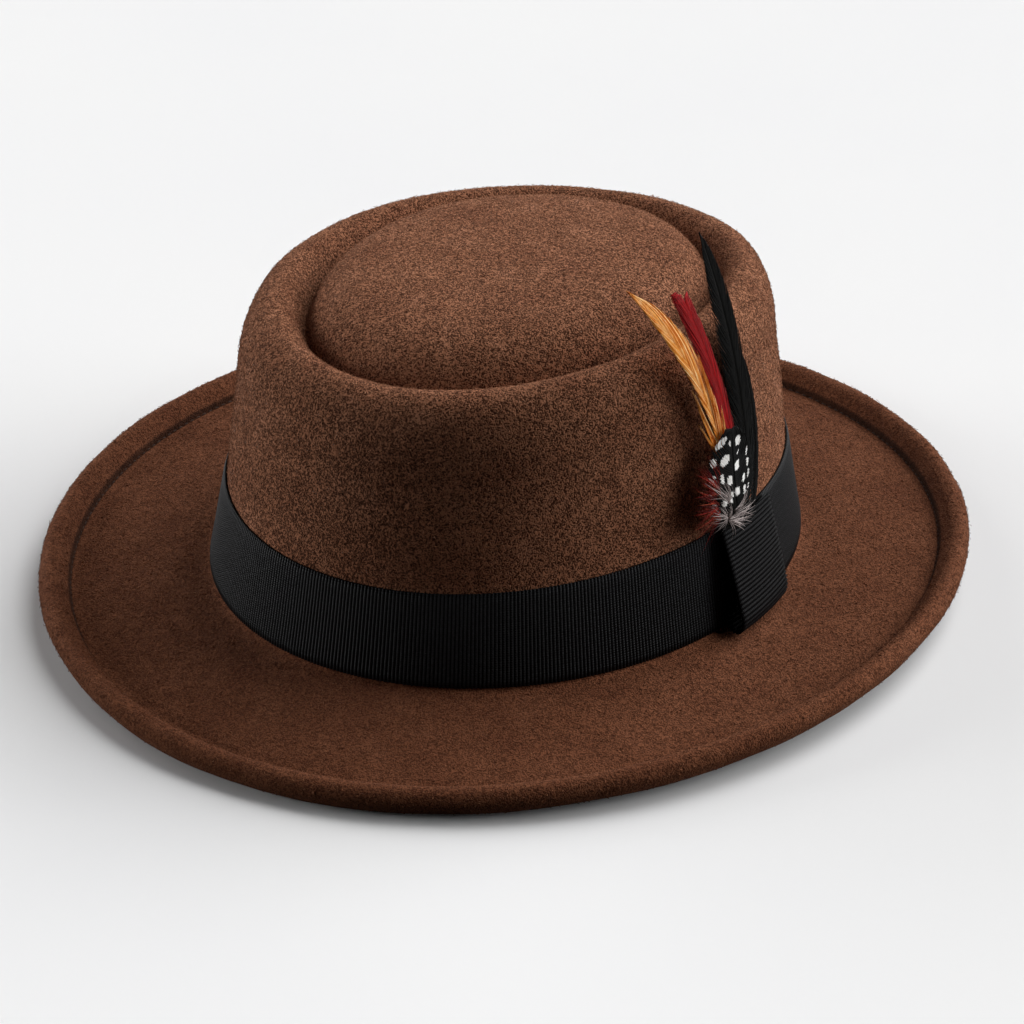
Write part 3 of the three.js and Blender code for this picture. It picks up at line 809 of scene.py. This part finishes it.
def feather(name, row, rng):
    """Shaft and barbs. The barbs leave the shaft at an angle, run to the vane's edge and cling
    together in groups, with gaps between the groups."""
    length = FEATHER_LENGTH * row["long"]
    wide = FEATHER_WIDTH * row["wide"] / 2
    vane_from = row["outline"][0][0] * length
    parts = []
    steps = np.linspace(0, length * row["shaft_to"], SHAFT_STEPS)
    side, up, _ = spine(row, steps)
    shaft = bunch_point(side, up, layer_off(row, up) + SHAFT_OFF)[None]
    half = row["shaft"] * np.linspace(1, SHAFT_TIP, SHAFT_STEPS)[None]
    points, faces = strands(shaft, half, OUT, ROUND_SECTION)
    parts.append((points, faces, np.zeros(points.shape[:-1] + (2,)) + [0.5, 0]))
    share = np.linspace(0, 1, row["segments"] + 1)
    leave = math.tan(math.radians(row["barb"]))

    def edge_at(reach):
        return wide * np.interp(reach / length, *np.array(row["outline"]).T)

    for hand, broad in zip((-1, 1), row["hands"]):
        count = int((length - vane_from) / row["pitch"])
        number = np.arange(count)
        root = vane_from + number * row["pitch"] + rng.normal(0, ROOT_STRAY, count)
        cuts = np.cumsum(rng.uniform(*row["groups"], count))
        group = np.searchsorted(cuts, number * row["pitch"])
        groups = range(group.max() + 1)
        centres = np.array([root[group == g].mean() if (group == g).any() else 0 for g in groups])
        pull = row["cling"] * rng.uniform(LEAST_CLING, 1.0, len(groups))[group]
        sweep = broad * np.maximum(edge_at(root), wide * LEAST_SWEEP) / leave
        sweep *= rng.uniform(1 - SWEEP_STRAY, 1 + SWEEP_STRAY, count)
        reach = root[:, None] + sweep[:, None] * share**BARB_ALONG
        reach -= (root - centres[group])[:, None] * (pull[:, None] * share**2)
        top = length * (1 + rng.uniform(-TIP_STRAY, TIP_STRAY, count) * row["ragged"])
        top -= row["slant"] * (1 + hand) / 2
        reach = np.minimum(reach, top[:, None] - (1 - share) * ROOT_BEHIND)
        fringe = 1 + rng.normal(0, row["fringe"], count)[:, None] * share
        edge = edge_at(np.clip(reach, 0, length))
        across = hand * broad * edge * share**BARB_ACROSS * fringe
        side, up, turn = spine(row, reach)
        side = side + np.cos(turn) * across
        up = up - np.sin(turn) * across
        cup = row["cup"] * (across / wide) ** 2
        loose = (rng.normal(0, BARB_OFF, count) + group % 2 * GROUP_OFF)[:, None] * share
        paths = bunch_point(side, up, layer_off(row, up) + VANE_OFF - cup + loose)
        thin = np.broadcast_to(1 - BARB_THIN * share**4, across.shape)
        points, faces = strands(paths, row["pitch"] * row["thick"] * thin, OUT, BARB)
        own = (number + (hand + 1) * NUMBER_STEP)[:, None, None]
        parts.append((points, faces, strand_maps(own, share[None])))
    for lock in row["locks"]:
        parts.append(lock_strands(row, lock, rng))
    points, faces, maps = gather(parts)
    return piece_from(name, points, faces, maps)


def lock_strands(row, lock, rng, thick=0.16, rise=0.3, loose=0.25, stray=0.01):
    """Barbs that spring from one place on the bunch's chart and meet near a tip. They rise from
    the layer and end up to loose of their run short. stray is how far single barbs leave the lock,
    as a share of its run."""
    share = np.linspace(0, 1, LOCK_STEPS)[None]
    start, tip = np.array(lock[:2], float), np.array(lock[2:4], float)
    count, width, bow = lock[4:]
    run = tip - start
    across = np.array([run[1], -run[0]]) / np.linalg.norm(run)
    spread = rng.uniform(-1, 1, (count, 1))
    ends = 1 + rng.uniform(-loose, loose * 0.3, (count, 1))
    belly = 0.25 + 0.75 * np.sin(np.pi * np.minimum(share * 0.9 + 0.1, 1))
    swell = spread * width * belly * (1 - share * LOCK_CLOSE) + bow * np.sin(np.pi * share)
    swell = swell + rng.normal(0, stray * np.linalg.norm(run), (count, 1)) * share**1.5
    side = start[0] + run[0] * share * ends + across[0] * swell
    up = start[1] + run[1] * share * ends + across[1] * swell
    out = row["layer"] * LAYER + rise * np.sin(np.pi * share)
    out = out + rng.uniform(0, LOCK_DEPTH, (count, 1))
    paths = bunch_point(side, up, out)
    half = thick * (1 - LOCK_THIN * share**2) * np.ones((count, 1))
    points, faces = strands(paths, half, OUT, BARB)
    own = rng.integers(3 * NUMBER_STEP, 9 * NUMBER_STEP, (count, 1, 1))
    return points, faces, strand_maps(own, share)


# Outlines: (share of the length, share of the half width)
BLADE = [(0.13, 0.12), (0.16, 0.28), (0.28, 0.92), (0.45, 1.0), (0.65, 0.97), (0.8, 0.78),
         (0.92, 0.42), (0.97, 0.2), (1.0, 0.03)]
CUT = [(0.13, 0.12), (0.16, 0.3), (0.3, 0.95), (0.6, 1.0), (0.85, 1.0), (1.0, 0.95)]
TAPER = [(0.13, 0.12), (0.16, 0.25), (0.32, 0.55), (0.52, 0.9), (0.7, 1.0), (0.86, 0.66),
         (0.95, 0.28), (1.0, 0.03)]
ROUND = [(0.0, 0.4), (0.15, 0.85), (0.35, 1.0), (0.7, 0.98), (0.88, 0.74), (1.0, 0.25)]

# What the feathers have in common:
# segments  pieces along one barb
# pitch     between barbs, and thick a barb's half width as a share of it
# groups    least and greatest length of vane whose barbs cling together, and cling how closely
# barb      degrees between barb and shaft
# fringe    how unevenly the barbs end at the vane's edge, and ragged the same at its tip
# cup       how far the vane's edges lie back
# shaft     its half width at the root, and shaft_to the share of the length that it reaches
# slant     how far the tip's rear corner is cut back
# bow       how far the feather bows to the rear
# hands     how wide the vane's front and rear sides are
# locks     loose bunches of barbs: where they start and where they meet on the bunch's chart, to
#           the rear and up, then their count, the width they spread to and their bow
PLAIN = {"segments": 6, "pitch": 0.34, "thick": 0.62, "groups": (1.5, 6.0), "cling": 0.25,
         "barb": 24, "fringe": 0.03, "ragged": 1.0, "cup": 0.9, "shaft": 0.3, "shaft_to": 0.93,
         "slant": 0.0, "bow": 0.0, "hands": (1.0, 1.0), "locks": []}

ORANGE_LOCKS = [
    (-9, 26, -15, 55.5, 26, 1.5, 0.8), (-8.5, 26, -12.5, 49.7, 22, 1.3, 0.6),
    (-9.5, 24, -19, 46, 9, 0.5, -0.4), (-10, 23, -18, 41, 16, 0.9, -0.5),
    (-10, 22, -17.8, 35, 12, 0.7, -0.4), (-8, 24, -6.6, 37, 16, 0.8, 0.8),
]

# The feathers, from the crown outwards. layer counts outwards, seat is the root's place along the
# loop as a share of its width, and root its height over the loop's top. long and wide are shares
# of the longest feather's length and width. lean is the shaft's slant at the root and bend how far
# it turns up to the tip, both in degrees.
FEATHERS = {
    "feather_black_short": dict(PLAIN, layer=0, seat=0.22, root=-9, long=0.56, wide=0.5, lean=14,
                                bend=-15, outline=BLADE, bow=2.6),
    "feather_black_long": dict(PLAIN, layer=1, seat=0.14, root=-9, long=1.0, wide=1.0, lean=7.5,
                               bend=-23, outline=BLADE, bow=1.2, hands=(0.95, 1.2)),
    "feather_red": dict(PLAIN, layer=2, seat=-0.02, root=-9, long=0.89, wide=0.68, lean=-2,
                        bend=-19, outline=CUT, barb=9, groups=(2, 9), cling=0.4, shaft_to=0.5,
                        ragged=2.0, slant=3.8, bow=2.6, hands=(0.95, 0.85)),
    "feather_orange": dict(PLAIN, layer=3, seat=-0.19, root=-9, long=1.06, wide=0.92, lean=-2,
                           bend=-40, outline=TAPER, barb=9, groups=(1.5, 6), cling=0.5, shaft=0.2,
                           bow=2.6, hands=(0.45, 1.1), ragged=1.5, locks=ORANGE_LOCKS),
    "feather_guinea": dict(PLAIN, layer=5, seat=-0.27, root=0.5, long=0.31, wide=2.0, lean=-3,
                           bend=12, outline=ROUND, barb=56, segments=16, pitch=0.3, cling=0.12,
                           groups=(3, 8), shaft_to=0.8, hands=(1.1, 1.05), thick=0.85),
}

# White spots of the guinea feather on the bunch's chart: side, up, half length, half width and
# turn in degrees, clockwise from straight up.
SPOTS = [
    (-11.9, 28.1, 3.1, 1.1, 77), (-7.6, 26.5, 0.8, 0.6, -4), (-3.5, 25.9, 1.6, 1.3, 64),
    (1.0, 20.9, 1.2, 0.4, 25), (-4.2, 22.5, 0.7, 0.3, 25), (-16.2, 23.8, 1.5, 1.4, -25),
    (-11.0, 22.5, 2.4, 1.4, 77), (-5.3, 19.0, 1.5, 1.2, 55), (0.7, 17.5, 1.3, 0.6, 18),
    (0.5, 14.2, 1.5, 0.6, 25), (-2.4, 14.0, 1.4, 0.8, 36), (-13.0, 17.6, 1.6, 0.9, -11),
    (-9.5, 15.9, 1.5, 1.3, -22), (-16.4, 19.5, 0.7, 0.4, -62), (-17.7, 18.6, 1.6, 0.6, -46),
    (-0.3, 10.5, 1.1, 0.4, 19), (-2.5, 10.4, 1.4, 0.9, 25), (-6.6, 11.3, 1.6, 1.2, -65),
    (-9.6, 11.4, 1.0, 0.9, -50), (-10.1, 9.9, 1.1, 0.7, -35), (-13.2, 10.4, 1.4, 1.1, 86),
    (-19.1, 14.7, 1.2, 0.5, -65), (-18.4, 11.1, 1.6, 0.7, 85),
]


def paint_spots(piece, material):
    """Gives the faces that lie in a white spot the second material."""
    mesh = piece.data
    mesh.materials.append(material)
    centres = np.empty(len(mesh.polygons) * 3)
    mesh.polygons.foreach_get("center", centres)
    offset = centres.reshape(-1, 3) / MM - BUNCH
    side, up = offset @ SIDE, offset @ UP
    white = np.zeros(len(side), bool)
    for spot_side, spot_up, half_long, half_wide, turn in SPOTS:
        turn = math.radians(turn)
        x, y = side - spot_side, up - spot_up
        far = (x * math.sin(turn) + y * math.cos(turn)) / half_long
        off = (x * math.cos(turn) - y * math.sin(turn)) / half_wide
        white |= far**2 + off**2 < 1
    mesh.polygons.foreach_set("material_index", white.astype(np.int32))


# Hackle and down are locks of loose barbs only.
HACKLE = {"layer": 4, "locks": [
    (-14, 13, -23.5, 19.5, 14, 1.0, 0.0), (-15, 13, -24.5, 17.0, 14, 1.0, 0.0),
    (-13, 12, -22.5, 24, 12, 0.9, 0.0), (-13, 12, -18, 25, 10, 0.9, 0.0),
    (-15, 11, -27, 14.5, 18, 1.3, 0.0), (-14, 10, -24, 11.5, 12, 0.9, 0.0),
    (-14, 9, -28, 8.5, 18, 1.2, 0.0), (-14, 8, -24, 4.0, 12, 0.9, 0.0),
    (-12, 14, -14, 27.5, 10, 0.9, 0.0),
]}
DOWN = {"layer": 6, "locks": [
    (-14.5, 6.5, -22.6, 5.4, 10, 0.7, 0.0), (-15.0, 6.5, -22.0, 10.9, 9, 0.6, 0.0),
    (-15.5, 6.3, -17.7, 10.8, 8, 0.6, 0.0), (-14.0, 6.3, -13.1, 10.4, 9, 0.7, 0.0),
    (-14.0, 5.8, -5.0, 4.5, 12, 0.8, 0.0), (-13.5, 5.5, -2.6, 1.4, 12, 0.8, 0.0),
    (-13.5, 5.0, -3.0, -2.4, 8, 0.6, 0.0), (-14.0, 5.5, -11.8, 0.0, 3, 0.3, 0.0),
    (-12.9, 10.5, -22.0, 20.0, 9, 0.8, 0.0), (-12.6, 10.5, -18.5, 19.0, 9, 0.7, 0.0),
    (-12.9, 10.5, -14.0, 17.5, 9, 0.7, 0.0), (-12.6, 11, -12.0, 15.5, 8, 0.6, 0.0),
    (-10.5, 6.5, -3.5, 9.8, 14, 1.2, 0.0), (-10.5, 5.5, -0.6, 5.6, 14, 1.2, 0.0),
]}


def tuft(name, row, rng, thick, stray):
    parts = [
        lock_strands(row, lock, rng, thick, rise=0.9, loose=0.5, stray=stray)
        for lock in row["locks"]
    ]
    points, faces, maps = gather(parts)
    return piece_from(name, points, faces, maps)


# Making

felt = felt_hat()
felt.data.materials.append(wool_felt())
keep(felt, "felt", "felt_body")

band = hat_band()
thicken(band, RIBBON - RIB_DEPTH)
band.data.materials.append(rayon_grosgrain("rayon_grosgrain_band", [
    (0.3, "#08090b"), (0.55, "#0e0f12"), (0.75, "#1c1d21"),
], 0.22))
keep(band, "ribbon", "hat_band")

loop = ribbon_loop()
thicken(loop, RIBBON - RIB_DEPTH)
# Darker, less glossy copy of the band's ribbon: painted shade for how light falls on the loop
loop.data.materials.append(rayon_grosgrain("rayon_grosgrain_loop_painted_darker", [
    (0.3, "#050506"), (0.55, "#0a0a0c"), (0.75, "#17171b"),
], 0.09))
keep(loop, "ribbon", "ribbon_loop")

fibre = wool_fibre()
for part in nap(felt, [band, loop]):
    part.data.materials.append(fibre)
    keep(part, "felt")

stitches = welt_stitches()
stitches.data.materials.append(sewing_thread())
keep(stitches, "felt")

black = feather_barbs("dyed_black_barbs", [
    (0.3, "#020202"), (0.55, "#050504"), (0.8, "#0f0d0b"),
], 0.42, gloss=0.05)
red = feather_barbs("dyed_red_barbs", [
    (0.25, "#5c0508"), (0.5, "#930c10"), (0.75, "#b8141a"),
], 0.5, fleck=0.6)
orange = feather_barbs("dyed_orange_barbs", [
    (0.25, "#b04f0c"), (0.4, "#e27d1c"), (0.6, "#f5a848"), (0.84, "#ffe0a8"),
], 0.45, fleck=0.6)
guinea = feather_barbs("guinea_black_barbs", [
    (0.3, "#030303"), (0.7, "#090908"),
], 0.5, gloss=0.05)
white = feather_barbs("guinea_white_spots", [(0.3, "#e6e4e0"), (0.7, "#fbfaf8")], 0.6)
hackle = feather_barbs("dyed_hackle_barbs", [
    (0.25, "#3c0608"), (0.5, "#740c0d"), (0.72, "#b2261a"), (0.9, "#de6c46"),
], 0.45, fleck=0.7)
down = feather_barbs("grey_down", [
    (0.25, "#645a57"), (0.5, "#ad9f9c"), (0.8, "#e4d8d5"),
], 0.6, fleck=0.7)

rng = np.random.default_rng(FEATHER_SEED)
FINISH = {
    "feather_black_short": ("feather_black", black),
    "feather_black_long": ("feather_black", black),
    "feather_red": ("feather_red", red),
    "feather_orange": ("feather_orange", orange),
    "feather_guinea": ("feather_spotted", guinea),
}
for node, row in FEATHERS.items():
    slot, material = FINISH[node]
    piece = feather(node + "_vane", row, rng)
    piece.data.materials.append(material)
    if node == "feather_guinea":
        paint_spots(piece, white)
    keep(piece, slot, node)

for node, row, slot, material, thick, stray in (
    ("feather_hackle", HACKLE, "feather_hackle", hackle, 0.09, 0.3),
    ("feather_down", DOWN, "feather_down", down, 0.1, 0.17),
):
    piece = tuft(node + "_locks", row, rng, thick, stray)
    piece.data.materials.append(material)
    keep(piece, slot, node)


# Floor, light and camera

FLOOR_SIZE = 12.0  # metres

bpy.ops.object.select_all(action="DESELECT")
bpy.ops.mesh.primitive_plane_add(size=FLOOR_SIZE)
floor = bpy.context.object
floor.name = "paper_floor"
floor.data.materials.append(paper_sweep())
floor.visible_diffuse = False


def toward(azimuth, elevation):
    """Direction from the hat, by degrees from the front toward the wearer's left, and up."""
    a, e = math.radians(azimuth), math.radians(elevation)
    return Vector((math.sin(a) * math.cos(e), -math.cos(a) * math.cos(e), math.sin(e)))


def sun(name, azimuth, elevation, strength, width):
    """A far soft light. width is its breadth in degrees."""
    light = bpy.data.lights.new(name, "SUN")
    light.energy = strength
    light.angle = math.radians(width)
    holder = bpy.data.objects.new(name, light)
    bpy.context.scene.collection.objects.link(holder)
    holder.rotation_euler = toward(azimuth, elevation).to_track_quat("Z", "Y").to_euler()


sun("right_low", 116, 22, 2.25, 45)
sun("right_back_low", 161, 22, 1.05, 45)
sun("right_back_high", 161, 50, 1.85, 45)
sun("left_back", 251, 12, 1.3, 45)
sun("left_low", 290, 8, 2.0, 35)

# Degrees round the hat, up and about the line of sight, then millimetres
CAMERA_AZIMUTH, CAMERA_ELEVATION, CAMERA_ROLL = 25.69, 28.14, -0.26
CAMERA_DISTANCE, CAMERA_TARGET = 1200.0, (4.67, -7.0, 20.16)

# Focal length and width of the picture in its pixels, and the sensor's width in millimetres
FOCAL_PIXELS, PICTURE_PIXELS, SENSOR_WIDTH = 3979.6, 1024, 36.0
CAMERA_SIGHT = 20.0  # metres


def photo_camera():
    """The camera that fits the outlines of crown and brim."""
    back = toward(CAMERA_AZIMUTH, CAMERA_ELEVATION)
    right = toward(CAMERA_AZIMUTH + 90, 0)
    up = back.cross(right)
    roll = math.radians(CAMERA_ROLL)
    rolled_right = right * math.cos(roll) + up * math.sin(roll)
    rolled_up = up * math.cos(roll) - right * math.sin(roll)
    camera = bpy.data.objects.new("camera", bpy.data.cameras.new("camera"))
    camera.data.lens = FOCAL_PIXELS / PICTURE_PIXELS * SENSOR_WIDTH
    camera.data.sensor_width = SENSOR_WIDTH
    camera.data.clip_end = CAMERA_SIGHT
    bpy.context.scene.collection.objects.link(camera)
    turn = Matrix((rolled_right, rolled_up, back)).transposed().to_4x4()
    place = Vector(CAMERA_TARGET) + back * CAMERA_DISTANCE
    camera.matrix_world = Matrix.Translation(place * MM) @ turn
    bpy.context.scene.camera = camera


photo_camera()
world = bpy.data.worlds.new("studio")
world.use_nodes = True
world.node_tree.nodes["Background"].inputs["Strength"].default_value = 0.0
bpy.context.scene.world = world
bpy.context.scene.view_settings.view_transform = "Standard"
